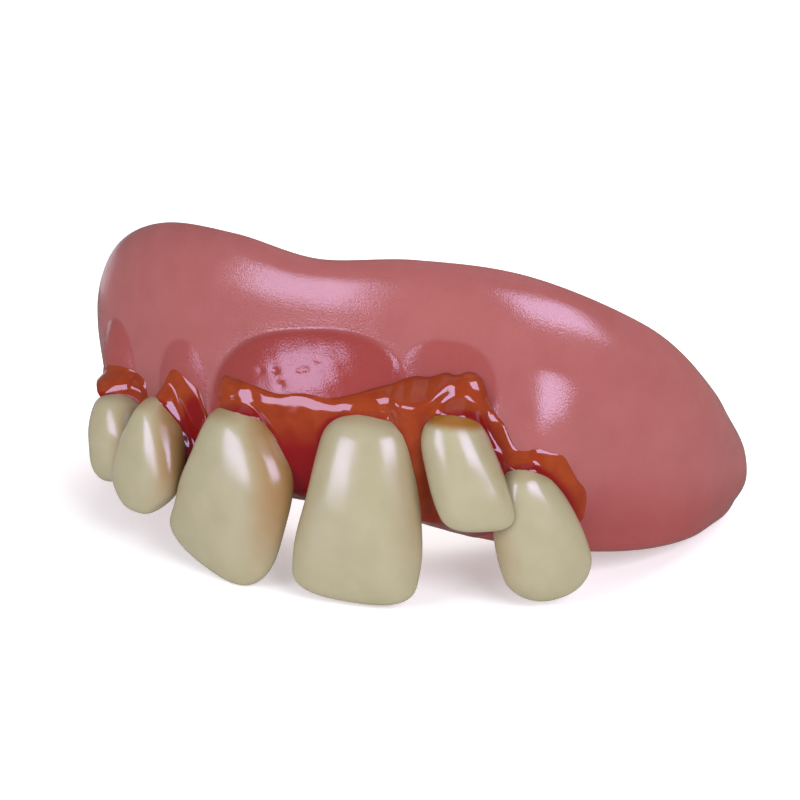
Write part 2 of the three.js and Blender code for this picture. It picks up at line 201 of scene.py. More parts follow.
# Resin on the outer face: its lower and upper limits along the ridge line, how much its upper rim swells,
# how much it fills the gap between two teeth and how far down it stays orange
RESIN_COLUMNS = ("at", "low", "high", "bead", "web", "orange")
RESIN = {
    "resin_canine_left": [
        (-19.2, 7.9, 8.6, 0.0, 0.0, 9.0),
        (-18.4, 7.8, 9.2, 0.0, 0.0, 9.0),
        (-17.3, 7.7, 9.6, 0.0, 0.0, 9.0),
        (-16.5, 7.3, 9.8, 0.0, 0.0, 9.0),
        (-15.6, 6.2, 10.0, 0.0, 0.0, 9.0),
        (-14.6, 4.8, 9.9, 0.0, 0.0, 9.0),
        (-13.9, 4.2, 9.6, 0.0, 0.0, 9.0),
        (-13.3, 4.4, 9.0, 0.0, 0.0, 9.0),
        (-12.9, 5.0, 7.6, 0.0, 0.0, 9.0),
    ],
    "resin_lateral_left": [
        (-12.6, 7.2, 8.0, 0.0, 0.0, 9.0),
        (-12.0, 7.0, 8.5, 0.0, 0.0, 9.0),
        (-11.5, 6.8, 9.0, 0.0, 0.0, 9.0),
        (-11.1, 6.6, 10.0, 0.0, 0.0, 9.0),
        (-10.7, 6.2, 10.8, 0.0, 0.0, 9.0),
        (-10.2, 5.6, 11.0, 0.0, 0.0, 7.0),
        (-9.6, 4.0, 10.7, 0.0, 0.0, 4.0),
        (-8.9, 2.6, 10.2, 0.0, 0.0, 1.5),
        (-8.3, 2.2, 9.6, 0.0, 0.0, 0.8),
        (-7.9, 2.2, 8.6, 0.0, 0.0, 0.8),
        (-7.5, 2.4, 7.2, 0.0, 0.0, 0.8),
        (-7.0, 2.8, 5.6, 0.0, 0.0, 0.8),
    ],
    "resin_front": [
        (-6.6, 7.6, 9.0, 0.0, 0.0, 3.7),
        (-6.2, 7.2, 10.9, 0.3, 0.0, 3.7),
        (-5.1, 7.0, 11.3, 0.8, 0.0, 3.7),
        (-4.3, 7.0, 11.3, 0.6, 0.0, 3.7),
        (-2.8, 6.4, 11.1, 0.25, 0.0, 3.7),
        (-0.9, 2.2, 10.9, 0.15, 0.0, 3.7),
        (0.3, 1.8, 11.2, 0.15, 0.0, 3.7),
        (1.4, 1.8, 11.3, 0.15, 0.0, 3.7),
        (2.6, 3.6, 11.2, 0.25, 0.0, 3.7),
        (3.6, 7.0, 11.5, 0.5, 0.0, 3.7),
        (4.6, 8.0, 12.0, 0.9, 0.0, 3.7),
        (5.6, 8.0, 12.6, 0.8, 0.0, 3.7),
        (6.6, 7.4, 13.1, 0.9, 0.5, 3.7),
        (7.7, 1.3, 13.9, 0.7, 2.0, 9.0),
        (8.9, 1.1, 14.1, 0.9, 1.8, 9.0),
        (9.8, 0.9, 14.6, 1.0, 0.0, 14.0),
        (10.4, 0.8, 14.5, 1.1, 0.0, 14.0),
        (11.2, 0.6, 14.9, 1.1, 0.0, 14.0),
        (11.9, 0.5, 14.4, 0.9, 0.0, 12.0),
        (12.3, 0.4, 13.2, 0.7, 0.0, 8.0),
        (12.6, 0.4, 12.2, 0.3, 0.0, 6.0),
        (13.0, 0.5, 11.5, 0.15, 0.0, 5.0),
        (13.4, 0.9, 10.9, 0.1, 0.0, 3.7),
        (13.8, 1.2, 9.8, 0.1, 0.0, 3.7),
        (14.1, 1.8, 9.1, 0.05, 0.0, 3.7),
        (14.6, 2.6, 8.9, 0.05, 0.0, 3.7),
        (15.2, 3.4, 9.2, 0.0, 0.0, 3.7),
        (16.0, 3.4, 9.0, 0.0, 0.0, 3.7),
        (16.7, 3.0, 8.7, 0.0, 0.0, 3.7),
        (17.2, 2.6, 7.7, 0.05, 0.0, 3.7),
        (17.7, 2.4, 6.7, 0.1, 0.0, 3.7),
        (18.5, 2.4, 5.4, 0.1, 0.0, 3.7),
        (18.9, 2.6, 3.8, 0.0, 0.0, 3.7),
    ],
}
RESIN_FILM = 0.12
RESIN_COAT = 0.12
RESIN_SINK = 0.1
RESIN_EDGE = 0.5
RESIN_ROUND = 1.0
RESIN_ROUND_BEAD = 2.0
RESIN_FOOT = 0.8
RESIN_BEAD_REACH = 3.0
RESIN_BEAD_POWER = 4
RESIN_RAMP = 1.1
RESIN_RISE = 0.7
RESIN_LINE = 0.5
RESIN_FILLET = 0.35
RESIN_LUMP = 0.06
RESIN_LUMP_LENGTH = 1.3
RESIN_SPACING = 1.3
RESIN_SMOOTHING = 12
ORANGE_FADE = (0.6, 1.4)
# Painted shade that darkens the resin in the groove beside each tooth: its width, its strength and the
# heights over the neck between which it fades in
GROOVE_SHADE_WIDTH = 0.7
GROOVE_SHADE_STRENGTH = 1.0
GROOVE_SHADE_BELOW = (1.6, 0.2)
TOOTH_REACH = 6.0
HALVINGS = 16

# Mesh density
FRONT_REACH = 21.0
FRONT_STEP = 0.2
SIDE_STEP = 0.5
LOBE_STEPS = 26
LOBE_END = 0.9995
RING_SMOOTHING = 14
FOOT_POINTS = 12
FACE_POINTS = 90
ROLL_POINTS = 30
LIP_POINTS = 8
WALL_POINTS = 36
FLOOR_POINTS = 14
INNER_POINTS = 12
TOOTH_SIDES = 128
TOOTH_STEPS = 96
RESIN_STEP = 0.1
RESIN_POINTS = 96
RESIN_BACK_POINTS = 10

# Camera: where it stands about its target, in degrees and millimetres, and its lens
CAMERA_AZIMUTH = 25.26
CAMERA_ELEVATION = 19.6
CAMERA_ROLL = 0.616
CAMERA_DISTANCE = 260.0
CAMERA_TARGET = (3.87, -3.24, 12.9)
CAMERA_LENS = 132.1
CAMERA_SENSOR = 36.0
CAMERA_NEAREST = 10.0

# Studio: softboxes, a fill light behind, a small card at the left and the bright room; mirrored lights
# show in the gloss
LIGHT_COLUMNS = ("name", "azimuth", "elevation", "distance", "wide", "high", "watts", "mirrored", "colour")
LIGHTS = [
    ("softbox_left", -28, 16, 500, 270, 250, 1.8, True, (0.93, 0.9, 1.0)),
    ("softbox_right", 60, 30, 500, 320, 230, 2.3, True, (0.93, 0.9, 1.0)),
    ("softbox_top", 180, 80, 900, 900, 900, 1.0, True, (1.0, 1.0, 1.0)),
    ("fill_back", 180, 35, 700, 600, 400, 4.5, False, (1.0, 1.0, 1.0)),
    ("card_left", -125, -3, 90, 60, 14, 0.0016, True, (0.93, 0.9, 1.0)),
]
WORLD_COLOUR = (1.0, 0.98, 0.94, 1.0)
WORLD_STRENGTH = 0.3
WORLD_MIRRORED = 0.2
FLOOR_SIZE = 3000.0
FLOOR_GLOW = 0.38
WHITE = (1.0, 1.0, 1.0, 1.0)

# Colours as seen on a screen from 0 to 255, the floor's as plain shares, and the tint of all gloss
SCREEN_WHITE = 255
GUM_PINKS = ((142, 80, 77), (147, 86, 83))
# the deeper red of the swellings, also used for painted shade towards the gum's foot
GUM_RED_AND_FOOT_SHADE = (131, 55, 51)
TOOTH_CREAMS = ((149, 144, 114), (156, 150, 121))
# the amber stain at the necks, also used for painted shade along the teeth's sides
TOOTH_AMBER_AND_SHADE = (132, 88, 24)
RESIN_ORANGES = ((122, 42, 14), (134, 55, 20))
# the resin's crimson, also used for painted shade in the grooves beside the teeth
RESIN_CRIMSON_AND_SHADE = (112, 12, 10)
FLOOR_WHITES = ((0.86, 0.86, 0.86, 1.0), (0.9, 0.9, 0.9, 1.0))
MIRROR_TINT = (0.76, 0.7, 1.0, 1.0)

# Noise in the finishes: the band that its values fill, and how fine it goes
NOISE_BAND = (0.3, 0.7)
NOISE_DETAIL = 3.0


def smooth_curve(places, values):
    """A smooth function through points, level at both ends and held beyond them."""
    places = np.array(places, float)
    values = np.array(values, float)
    chords = np.diff(values) / np.diff(places)
    slopes = np.zeros(len(places))
    slopes[1:-1] = (chords[1:] + chords[:-1]) / 2

    def value(place):
        place = np.clip(place, places[0], places[-1])
        row = np.clip(np.searchsorted(places, place) - 1, 0, len(places) - 2)
        span = places[row + 1] - places[row]
        t = (place - places[row]) / span
        start = (2 * t**3 - 3 * t**2 + 1) * values[row] + (t**3 - 2 * t**2 + t) * span * slopes[row]
        end = (3 * t**2 - 2 * t**3) * values[row + 1] + (t**3 - t**2) * span * slopes[row + 1]
        return start + end

    return value


def curves(names, rows):
    """One smooth function for each column of a table, along its first column."""
    columns = list(zip(*rows))
    return {name: smooth_curve(columns[0], column) for name, column in zip(names[1:], columns[1:])}


def named_rows(names, rows):
    """The rows of a table, each with its columns by name."""
    return [dict(zip(names, row)) for row in rows]


def ease(low, high, value):
    """0 below low, 1 above high and a smooth step between; the other way round if low is above high."""
    t = np.clip((value - low) / (high - low), 0, 1)
    return t * t * (3 - 2 * t)


def rounded(reach, distance):
    """0 at an edge and 1 beyond the given reach, on a quarter of an ellipse."""
    return np.sqrt(1 - (1 - np.clip(distance / reach, 0, 1)) ** 2)


def waver(first, second, scale):
    """Slow unevenness between -1 and 1 over a surface; scale is the length of one swell."""
    u = first / scale
    v = second / scale
    waves = [np.sin(along * u + across * v + start) for along, across, start in WAVES]
    return sum(waves) / len(WAVES)


def ridge_samples():
    """Distance along the right half of the ridge line, with the place of each sample."""
    turn = np.linspace(0, math.pi / 2, ARCH_SAMPLES)
    x = ARCH_HALF_WIDTH * np.sin(turn) ** (2 / ARCH_SQUARENESS)
    y = ARCH_DEPTH * (1 - np.maximum(np.cos(turn), 0) ** (2 / ARCH_SQUARENESS))
    x = np.append(x, ARCH_HALF_WIDTH)
    y = np.append(y, ARCH_DEPTH + ARCH_STRAIGHT)
    length = np.concatenate([[0], np.cumsum(np.hypot(np.diff(x), np.diff(y)))])
    return length, x, y


RIDGE_LENGTH, RIDGE_X, RIDGE_Y = ridge_samples()
HALF_ARCH = RIDGE_LENGTH[-1]
plate = curves(PLATE_COLUMNS, PLATE)
swellings = named_rows(SWELLING_COLUMNS, SWELLINGS)
pits = named_rows(PIT_COLUMNS, PITS)
teeth = named_rows(TOOTH_COLUMNS, TEETH)


def ridge_place(at):
    """Points on the ridge line, which is mirrored at the midline."""
    side = np.abs(at)
    return np.sign(at) * np.interp(side, RIDGE_LENGTH, RIDGE_X), np.interp(side, RIDGE_LENGTH, RIDGE_Y)


def arch_frame(at):
    """The ridge line's points with its running and outward directions in plan."""
    x, y = ridge_place(at)
    behind = ridge_place(np.maximum(at - TANGENT_REACH, -HALF_ARCH))
    ahead = ridge_place(np.minimum(at + TANGENT_REACH, HALF_ARCH))
    run_x = ahead[0] - behind[0]
    run_y = ahead[1] - behind[1]
    size = np.hypot(run_x, run_y)
    return (x, y), (run_x / size, run_y / size), (run_y / size, -run_x / size)


def arch_points(at, out, up):
    """Points of the level plate from their surface coordinates."""
    (x, y), _, (out_x, out_y) = arch_frame(at)
    return np.stack(np.broadcast_arrays(x + out * out_x, y + out * out_y, up), axis=-1)


def plain_face(at, up):
    """Distance of the plain outer face from the ridge line."""
    side = np.abs(at)
    low = plate["low"](side)
    level = np.clip((up - low) / (plate["high"](side) - low), 0, 1)
    bulge = plate["belly"](side) * np.sin(math.pi * level)
    return plate["rim"](side) + bulge + plate["flare"](side) * level**2


def swelling_reach(dome, at, up):
    """1 on the border of a swelling and less inside it."""
    across = at - dome["at"]
    rise = up - dome["up"] - dome["slope"] * across
    wide = np.abs(across / dome["half_wide"]) ** dome["square"]
    high = np.abs(rise / dome["half_high"]) ** dome["square"]
    return (wide + high) ** (1 / dome["square"])


def relief(at, up):
    """How far swellings lift the outer face, less their creases and the pits, with slow unevenness."""
    lift = np.zeros(np.broadcast(at, up).shape)
    for dome in swellings:
        reach = swelling_reach(dome, at, up)
        lift = np.maximum(lift, dome["rise"] * np.maximum(0, 1 - reach**2) ** dome["fullness"])
        border = (reach - 1) * dome["half_high"] / CREASE_WIDTH
        lift = lift - dome["crease"] * np.exp(-border**2)
        lift = lift + dome["rough"] * LUMP * waver(at, up, LUMP_LENGTH) * ease(1, LUMP_FROM, reach)
    for pit in pits:
        away = np.hypot(at - pit["at"], up - pit["up"]) / pit["radius"]
        lift = lift - pit["depth"] * np.exp(-(away**2))
    lift = lift + UNEVEN * waver(at, up, UNEVEN_LENGTH)
    return lift + RIPPLE * waver(up, at, RIPPLE_LENGTH)


def redness_and_foot_shade(at, up):
    """How much the gum reddens on the swellings, and darkens towards its foot as painted shade."""
    red = np.zeros(np.broadcast(at, up).shape)
    for dome in swellings:
        reach = swelling_reach(dome, at, up)
        red = np.maximum(red, dome["red"] * ease(*RED_BORDER, reach))
    return np.maximum(red, FOOT_SHADE * ease(*FOOT_SHADE_REACH, up))


def roughness(at, up):
    """How rough the gum is: most along the borders of the swellings, less on them."""
    rough = np.zeros(np.broadcast(at, up).shape)
    for dome in swellings:
        reach = swelling_reach(dome, at, up)
        border = np.exp(-(((reach - ROUGH_AT) / ROUGH_WIDTH) ** 2))
        inside = ROUGH_INSIDE * ease(*ROUGH_BORDER, reach)
        rough = np.maximum(rough, dome["rough"] * np.maximum(border, inside))
    return rough


def outer_face(at, up):
    """The finished outer face, rounded under at its foot."""
    low = plate["low"](np.abs(at))
    below = np.clip((low + EDGE_RADIUS - up) / EDGE_RADIUS, 0, 1)
    foot = EDGE_RADIUS * (1 - np.sqrt(1 - below**2))
    return plain_face(at, up) - foot + relief(at, up)


def lobe_draw(at):
    """How much the sections draw in towards the rear end of each lobe."""
    past = np.maximum(0, (np.abs(at) / HALF_ARCH - LOBE_FROM) / (1 - LOBE_FROM))
    return np.sqrt(np.maximum(0, 1 - past**2))


def stations():
    """Places of the plate's sections, from the right rear to the left rear."""
    lobe_start = HALF_ARCH * LOBE_FROM
    front = np.arange(0, FRONT_REACH, FRONT_STEP)
    side_steps = round((lobe_start - FRONT_REACH) / SIDE_STEP)
    side = np.linspace(FRONT_REACH, lobe_start, side_steps, endpoint=False)
    share = np.sin(np.linspace(0, math.pi / 2, LOBE_STEPS)) * LOBE_END
    right = np.concatenate([front, side, lobe_start + share * (HALF_ARCH - lobe_start)])
    return np.concatenate([right[::-1], -right[1:]])


def straight(start, end, count):
    """Points from one [out, up] pair towards another, without the last; a pair has values per section."""
    share = np.arange(count) / count
    return tuple(a + (b - a) * share for a, b in zip(start, end))


def joined(stretches):
    """Stretches of [out, up] points put end to end."""
    return tuple(np.concatenate(parts, axis=1) for parts in zip(*stretches))


def smoothed(values):
    """Closed rows of values with their corners eased."""
    for _ in range(RING_SMOOTHING):
        values = (np.roll(values, 1, axis=1) + 2 * values + np.roll(values, -1, axis=1)) / 4
    return values


def face_stretches(at, low, high):
    """The rounded foot, the outer face and the roll over the lip, as stretches of [out, up] points."""
    foot_up = low + EDGE_RADIUS
    foot_out = plain_face(at, foot_up) - EDGE_RADIUS
    foot_turn = np.radians(np.linspace(-90, 0, FOOT_POINTS, endpoint=False))
    foot = (foot_out + EDGE_RADIUS * np.cos(foot_turn), foot_up + EDGE_RADIUS * np.sin(foot_turn))

    roll_up = np.minimum(ROLL_UP, ROLL_SHARE * (high - low))
    face_up = foot_up + (high - roll_up - foot_up) * np.linspace(0, 1, FACE_POINTS, endpoint=False)
    face = (plain_face(at, face_up), face_up)

    roll_turn = np.radians(np.linspace(0, 90, ROLL_POINTS, endpoint=False))
    roll_top = high - roll_up + roll_up * np.sin(roll_turn)
    roll = (plain_face(at, roll_top) - ROLL_OUT * (1 - np.cos(roll_turn)), roll_top)
    return [foot, face, roll]


def hollow_stretch(at, lip, back_top):
    """The trough from the lip to the top of the inner side, filled towards the rear lobes."""
    floor = TROUGH_FLOOR + np.zeros_like(at)
    inner = TROUGH_INNER + np.zeros_like(at)
    high = lip[1]
    wall_top = (plain_face(at, high) - WALL_HIGH - LIP_ROUND, high - LIP_ROUND)
    wall_foot = (plain_face(at, floor) - WALL_LOW, floor)
    inner_top = (inner, back_top[1] - LIP_ROUND)
    trough = joined([
        straight(lip, wall_top, LIP_POINTS),
        straight(wall_top, wall_foot, WALL_POINTS),
        straight(wall_foot, (inner, floor), FLOOR_POINTS),
        straight((inner, floor), inner_top, INNER_POINTS),
        straight(inner_top, back_top, LIP_POINTS),
    ])
    shut = straight(lip, back_top, trough[0].shape[1])
    end = HALF_ARCH - TROUGH_END
    opened = ease(end, end - TROUGH_FADE, np.abs(at))
    return tuple(closed + (cut - closed) * opened for closed, cut in zip(shut, trough))


def plate_sections(at):
    """Sections of the plate as rows of out and up, and which of their points are the outer face."""
    side = np.abs(at)
    back = LINGUAL_OFFSET + np.zeros_like(at)
    low = plate["low"](side)
    high = plate["high"](side) - LIP_DROP
    inner = np.minimum(low + LINGUAL_HEIGHT, high - EDGE_RADIUS)
    lip = (plain_face(at, high) - ROLL_OUT, high)
    back_top = (back + LIP_ROUND, inner)
    back_side = (back, inner - EDGE_RADIUS)
    back_foot = (back, low + EDGE_RADIUS)
    under_inner = (back + EDGE_RADIUS, low)
    under_outer = (plain_face(at, low + EDGE_RADIUS) - EDGE_RADIUS, low)
    out, up = joined([
        straight(under_inner, under_outer, FLOOR_POINTS),
        *face_stretches(at, low, high),
        hollow_stretch(at, lip, back_top),
        straight(back_top, back_side, LIP_POINTS),
        straight(back_side, back_foot, INNER_POINTS),
        straight(back_foot, under_inner, LIP_POINTS),
    ])
    outer = slice(FLOOR_POINTS, FLOOR_POINTS + FOOT_POINTS + FACE_POINTS + ROLL_POINTS)
    return smoothed(out), smoothed(up), outer


def gum_rings():
    """Rings of the gum plate with how red it is, painted shade at its foot included, and how rough it is
    at each point.
    """
    at = stations()[:, np.newaxis]
    out, up, outer = plate_sections(at)
    draw = lobe_draw(at)
    red = np.zeros_like(out)
    rough = np.zeros_like(out)
    red[:, outer] = redness_and_foot_shade(at, up[:, outer]) * draw
    rough[:, outer] = roughness(at, up[:, outer])
    out[:, outer] += relief(at, up[:, outer])
    out = LOBE_CENTRE_OUT + (out - LOBE_CENTRE_OUT) * draw
    up = LOBE_CENTRE_UP + (up - LOBE_CENTRE_UP) * draw
    return arch_points(at, out, up), {"red": red, "rough": rough}


def turn_about(axis, degrees):
    """The matrix of a turn about one of the three axes."""
    return np.array(Matrix.Rotation(math.radians(degrees), 3, axis))


def tooth_place(tooth):
    """The neck of a tooth on the level plate, and the tooth's own directions as columns."""
    at = np.array(tooth["at"])
    neck = np.array(tooth["neck"])
    place = arch_points(at, plain_face(at, neck) + tooth["proud"], neck)
    _, along, out = arch_frame(at)
    upright = np.array([[along[0], -out[0], 0], [along[1], -out[1], 0], [0, 0, 1]])
    lean = turn_about("X", -tooth["flare"]) @ turn_about("Y", -tooth["tilt"])
    return place, upright @ lean @ turn_about("Z", tooth["turn"])


def tooth_halves(tooth, down):
    """Half width and the depths before and behind the axis, at shares of the tooth's length."""
    width = smooth_curve([row[0] for row in CROWN], WIDTHS[tooth["name"]])
    crown = curves(CROWN_COLUMNS, CROWN)
    past = np.clip((down - tooth["tip"]) / (1 - tooth["tip"]), 0, 1)
    rounding = np.maximum(0, 1 - past ** tooth["round"]) ** (1 / tooth["round"])
    thin = np.clip((down - TIP_THIN_FROM) / (1 - TIP_THIN_FROM), 0, 1)
    rise = np.clip((DOME_FROM - down) / (DOME_FROM - CROWN_TOP), 0, 1)
    dome = (1 - rise**DOME_SQUARENESS) ** (1 / DOME_SQUARENESS)
    depth = tooth["deep"] * np.sqrt(1 - thin**2) * dome
    half_wide = tooth["wide"] / 2 * width(down) * rounding * dome
    return half_wide, depth * crown["front"](down), depth * crown["back"](down)


def crown_shares(turn):
    """Shares of the length from a crown's top to its edge, close together at both; turn is 0 to pi."""
    return CROWN_TOP + (1 - CROWN_TOP) * (1 - np.cos(turn)) / 2


def tooth_rings(tooth):
    """Rings of one tooth with how stained it is at its neck and how much painted shade lies along its
    sides.
    """
    down = crown_shares(np.linspace(POLE, math.pi - POLE, TOOTH_STEPS))[:, np.newaxis]
    turn = np.linspace(0, -2 * math.pi, TOOTH_SIDES, endpoint=False)
    power = 2 / TOOTH_SQUARENESS
    across = np.sign(np.cos(turn)) * np.abs(np.cos(turn)) ** power
    inward = np.sign(np.sin(turn)) * np.abs(np.sin(turn)) ** power
    half_wide, front, back = tooth_halves(tooth, down)
    bent = np.maximum(0, down) ** 2
    x = half_wide * across
    y = np.where(inward < 0, front, back) * inward
    z = -tooth["long"] * down + tooth["slant"] * x * bent
    stain_and_shades = dict(zip(STAIN_AND_SHADE_COLUMNS, STAINS_AND_SIDE_SHADES[tooth["name"]]))
    # painted shade along the left and right sides
    side_shade = stain_and_shades["left"] * ease(*SIDE_SHADE_LEFT, across) + stain_and_shades["right"] * ease(*SIDE_SHADE_RIGHT, across)
    place, axes = tooth_place(tooth)
    points = place + np.stack([x + tooth["bow"] * bent, y, z], axis=-1) @ axes.T
    neck = stain_and_shades["neck"] * ease(*STAIN_BAND, points[..., 2] - tooth["neck"] + tooth["line"])
    return points, {"stain": np.maximum(side_shade * ease(*SIDE_SHADE_FADE, down), neck)}


def tooth_level(tooth, points):
    """For level points: 1 on a tooth's surface, the share of its half width, the height over its neck."""
    place, axes = tooth_place(tooth)
    x, y, z = np.moveaxis((points - place) @ axes, -1, 0)
    down = np.clip(-z / tooth["long"], crown_shares(POLE), crown_shares(math.pi - POLE))
    half_wide, front, back = tooth_halves(tooth, down)
    across = np.abs(x - tooth["bow"] * np.maximum(0, down) ** 2) / half_wide
    inward = np.abs(y) / np.where(y < 0, front, back)
    level = (across**TOOTH_SQUARENESS + inward**TOOTH_SQUARENESS) ** (1 / TOOTH_SQUARENESS)
    return level, across, z


def tooth_collar(tooth, at, up, face):
    """How far the resin stands over the face to cover the neck of a tooth and to climb its sides below."""
    near = face
    far = face + TOOTH_REACH
    for _ in range(HALVINGS):
        middle = (near + far) / 2
        within = tooth_level(tooth, arch_points(at, middle, up))[0] < 1
        near = np.where(within, middle, near)
        far = np.where(within, far, middle)
    _, across, _ = tooth_level(tooth, arch_points(at, near, up))
    line = tooth["neck"] - tooth["line"] - tooth["arc"] * np.minimum(across, 1) ** 2
    cover = ease(line - RESIN_LINE, line, up)
    stands = near - face
    climb = RESIN_FILLET + (1 - RESIN_FILLET) * cover
    return np.where(stands > 0, stands * climb + RESIN_COAT * cover, 0)


def groove_shade(tooth, at, up, face):
    """How much painted shade darkens the resin in the groove beside a tooth."""
    level, _, height = tooth_level(tooth, arch_points(at, face + RESIN_FILM, up))
    beside = np.maximum(0, level - 1) * tooth["wide"] / 2
    return GROOVE_SHADE_STRENGTH * np.exp(-((beside / GROOVE_SHADE_WIDTH) ** 2)) * ease(*GROOVE_SHADE_BELOW, height)


def ramped(thick, places):
    """Rows of thickness that fall off from their high places no steeper than the resin runs."""
    drops = RESIN_RAMP * np.abs(np.diff(places, axis=0))
    for row, drop in enumerate(drops):
        thick[row + 1] = np.maximum(thick[row + 1], thick[row] - drop)
    for row, drop in reversed(list(enumerate(drops))):
        thick[row] = np.maximum(thick[row], thick[row + 1] - drop)
    return thick


def spread(values):
    """Rows of values with the steps between them eased."""
    for _ in range(RESIN_SMOOTHING):
        edged = np.concatenate([values[:1], values, values[-1:]])
        values = (edged[:-2] + 2 * values + edged[2:]) / 4
    return values


def resin_thickness(limits, at, up, fall, end_reach):
    """How far a run of resin stands over the face: its bead, web, lumps and collars eased together."""
    face = outer_face(at, up)
    rim = limits["bead"](at)
    bead = rim * np.exp(-((fall / RESIN_BEAD_REACH) ** RESIN_BEAD_POWER))
    lumps = RESIN_LUMP * waver(at, up, RESIN_LUMP_LENGTH)
    collars = np.max([tooth_collar(tooth, at, up, face) for tooth in teeth], axis=0)
    thick = np.maximum(RESIN_FILM + bead + limits["web"](at) + lumps, collars)
    thick = ramped(thick, at)
    thick = ramped(thick.T, up.T).T
    thick = np.minimum(thick, RESIN_FILM + rim + RESIN_RISE * np.minimum(fall, end_reach))
    return spread(spread(thick).T).T


def resin_deepness(limits, at, up, fall):
    """How deep the resin's colour is: most low down, with painted shade in the grooves beside the teeth,
    least where it fills a gap.
    """
    face = outer_face(at, up)
    groove_shades = np.max([groove_shade(tooth, at, up, face) for tooth in teeth], axis=0)
    lower = ease(*ORANGE_FADE, fall / limits["orange"](at))
    return np.maximum(lower, groove_shades) * (1 - np.minimum(limits["web"](at), 1))


def resin_rings(rows):
    """Rings of one run of resin with how deep its colour is at each point, painted groove shade included.
    """
    limits = curves(RESIN_COLUMNS, rows)
    first = rows[0][0]
    last = rows[-1][0]
    at = np.linspace(last, first, round((last - first) / RESIN_STEP))[:, np.newaxis]
    end_reach = np.minimum(at - first, last - at)
    low = limits["low"](at)
    tall = limits["high"](at) - low
    fall = tall * (1 - np.linspace(0, 1, RESIN_POINTS)) ** RESIN_SPACING
    up = low + tall - fall

    ends = ease(0, RESIN_EDGE, end_reach)
    rolled = rounded(RESIN_ROUND + RESIN_ROUND_BEAD * limits["bead"](at), fall)
    shell = ends * rolled * ease(0, RESIN_FOOT, up - low)
    thick = resin_thickness(limits, at, up, fall, end_reach)
    front_out = outer_face(at, up) - RESIN_SINK + (RESIN_SINK + thick) * shell

    back_share = np.linspace(1, 0, RESIN_BACK_POINTS + 2)[1:-1]
    back_up = low + tall * back_share
    back_out = outer_face(at, back_up) - 2 * RESIN_SINK

    out = np.concatenate([front_out, back_out], axis=1)
    ring_up = np.concatenate([up, back_up], axis=1)
    deep = np.concatenate([resin_deepness(limits, at, up, fall), np.ones_like(back_out)], axis=1)
    return arch_points(at, out, ring_up), {"deep": deep}


def level_to_frame():
    """The matrix from the level plate in millimetres to the frame in metres, by the seat mount."""
    seat = next(mount for mount in frame["record"]["mounts"] if mount["name"] == "seat")
    axis = Vector(seat["axis"])
    pitch = Matrix.Rotation(-math.atan2(axis.y, axis.z), 4, "X")
    turned = pitch @ Matrix.Scale(MM, 4)
    shift = Vector(seat["pos_m"]) - turned @ Vector(SEAT)
    return Matrix.Translation(shift) @ turned


def closed_mesh(name, rings, values):
    """A smooth closed mesh through rings of level points, with one value per point under each name."""
    count, side_shade = rings.shape[:2]
    ends = np.stack([rings[0].mean(axis=0), rings[-1].mean(axis=0)])
    points = np.concatenate([rings.reshape(-1, 3), ends])
    matrix = np.array(level_to_frame())
    points = points @ matrix[:3, :3].T + matrix[:3, 3]
    grid = np.arange(count * side_shade).reshape(count, side_shade)
    beside = np.roll(grid, -1, axis=1)
    quads = np.stack([grid[:-1], beside[:-1], beside[1:], grid[1:]], axis=-1).reshape(-1, 4)
    first_end = np.stack([np.full(side_shade, count * side_shade), beside[0], grid[0]], axis=-1)
    last_end = np.stack([np.full(side_shade, count * side_shade + 1), grid[-1], beside[-1]], axis=-1)
    mesh = bpy.data.meshes.new(name)
    mesh.from_pydata(points.tolist(), [], quads.tolist() + first_end.tolist() + last_end.tolist())
    for title, field in values.items():
        numbers = np.append(field.ravel(), [field[0].mean(), field[-1].mean()])
        layer = mesh.attributes.new(title, "FLOAT", "POINT")
        layer.data.foreach_set("value", numbers.astype(np.float32))
    mesh.shade_smooth()
    return mesh


def add_piece(name, rings, values, material, slot):
    """Add one visible piece, which stands for the node of the same name."""
    piece = bpy.data.objects.new(name + "_skin", closed_mesh(name + "_skin", rings, values))
    bpy.context.scene.collection.objects.link(piece)
    piece.data.materials.append(material)
    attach(piece, "root")
    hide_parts(name)


def colour(red, green, blue):
    """A linear colour from the values seen on a screen."""
    seen = Color((red / SCREEN_WHITE, green / SCREEN_WHITE, blue / SCREEN_WHITE))
    return (*seen.from_srgb_to_scene_linear(), 1.0)


